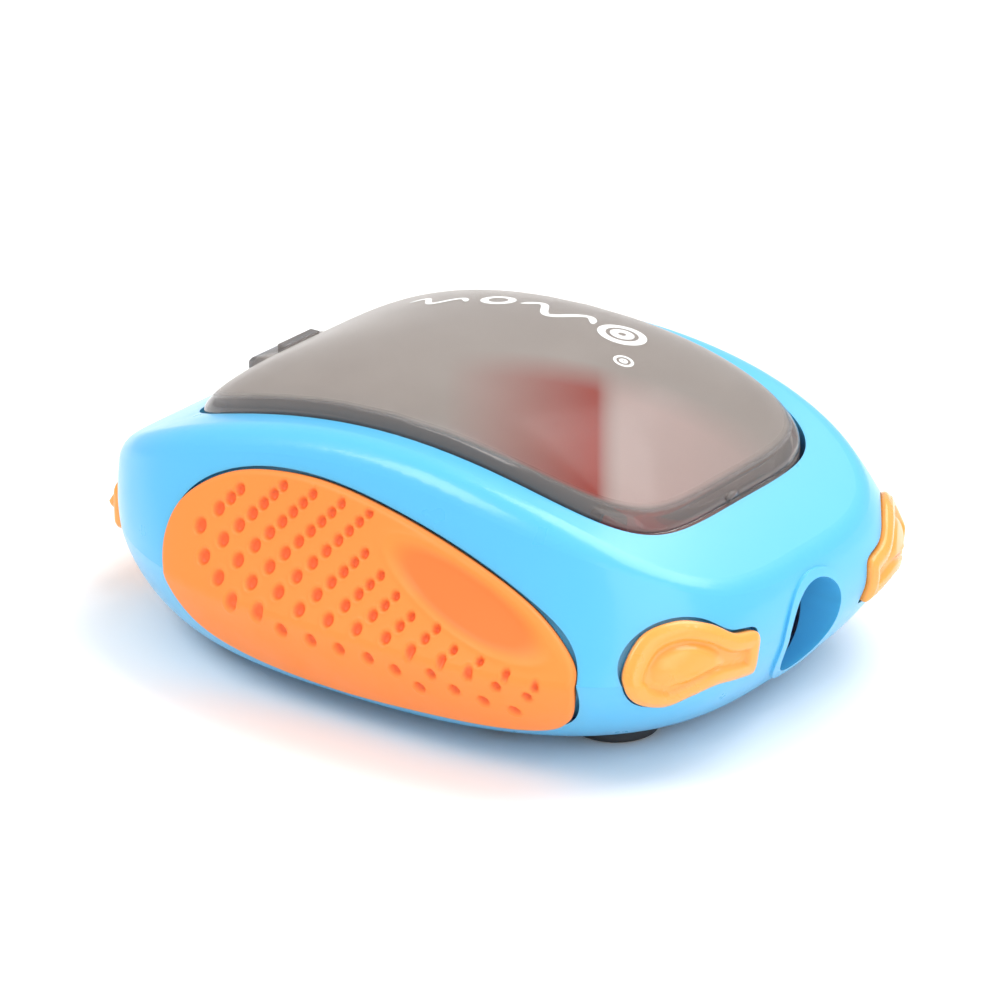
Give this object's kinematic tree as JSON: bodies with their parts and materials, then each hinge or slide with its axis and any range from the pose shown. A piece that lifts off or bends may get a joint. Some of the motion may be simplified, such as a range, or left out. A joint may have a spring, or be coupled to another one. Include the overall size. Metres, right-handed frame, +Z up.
{
  "type": "pencil sharpener",
  "caption": "Palm-sized manual pencil sharpener: oval blue case, smoked lid, orange rubber grips, shuttered pencil slot and a rear release button.",
  "frame": {"origin": "On the floor under the middle of the case, in its plane of symmetry", "axes": "+X to the front, where the pencil goes in; +Y to the left side; +Z up"},
  "size_m": [0.0721, 0.0568, 0.03],
  "materials": {
    "blue_plastic": "polished",
    "orange_rubber": "satin",
    "orange_plastic": "satin",
    "smoked_plastic": "frosted",
    "dark_blue_plastic": "satin",
    "red_plastic": "satin",
    "steel": "ground",
    "black_rubber": "matte"
  },
  "bodies": {
    "case": {"lower_shell": "blue_plastic", "upper_shell": "blue_plastic", "left_grip": "orange_rubber", "right_grip": "orange_rubber", "left_headlight": "orange_plastic", "right_headlight": "orange_plastic", "rear_plate": "orange_plastic", "button_spring": "steel", "button_keeper": "dark_blue_plastic", "keeper_screws": "steel", "shutter_pin": "steel", "shutter_spring": "steel", "sharpener_block": "red_plastic", "blade": "steel", "blade_screw": "steel", "block_screw": "steel", "case_screws": "steel", "foot_front_left": "black_rubber", "foot_front_right": "black_rubber", "foot_rear_left": "black_rubber", "foot_rear_right": "black_rubber"},
    "lid": {"lid": "smoked_plastic"},
    "shutter": {"shutter_flap": "dark_blue_plastic"},
    "button": {"release_button": "orange_plastic"}
  },
  "joints": [
    {"name": "lid_hinge", "type": "hinge", "parent": "case", "child": "lid", "pos_m": [0.0232, 0, 0.019], "axis": [0, 1, 0], "range_deg": [0, 18]},
    {"name": "shutter_swing", "type": "hinge", "parent": "case", "child": "shutter", "pos_m": [0.03055, 0, 0.0146], "axis": [0, 1, 0], "range_deg": [0, 88], "stiffness_Nm_per_rad": 0.00002, "springref_deg": -11.46, "deforming": ["shutter_spring"]},
    {"name": "button_slide", "type": "slide", "parent": "case", "child": "button", "axis": [1, 0, 0], "range_m": [0, 0.0012], "stiffness_N_per_m": 150, "springref_m": -0.002, "deforming": ["button_spring"]}
  ]
}
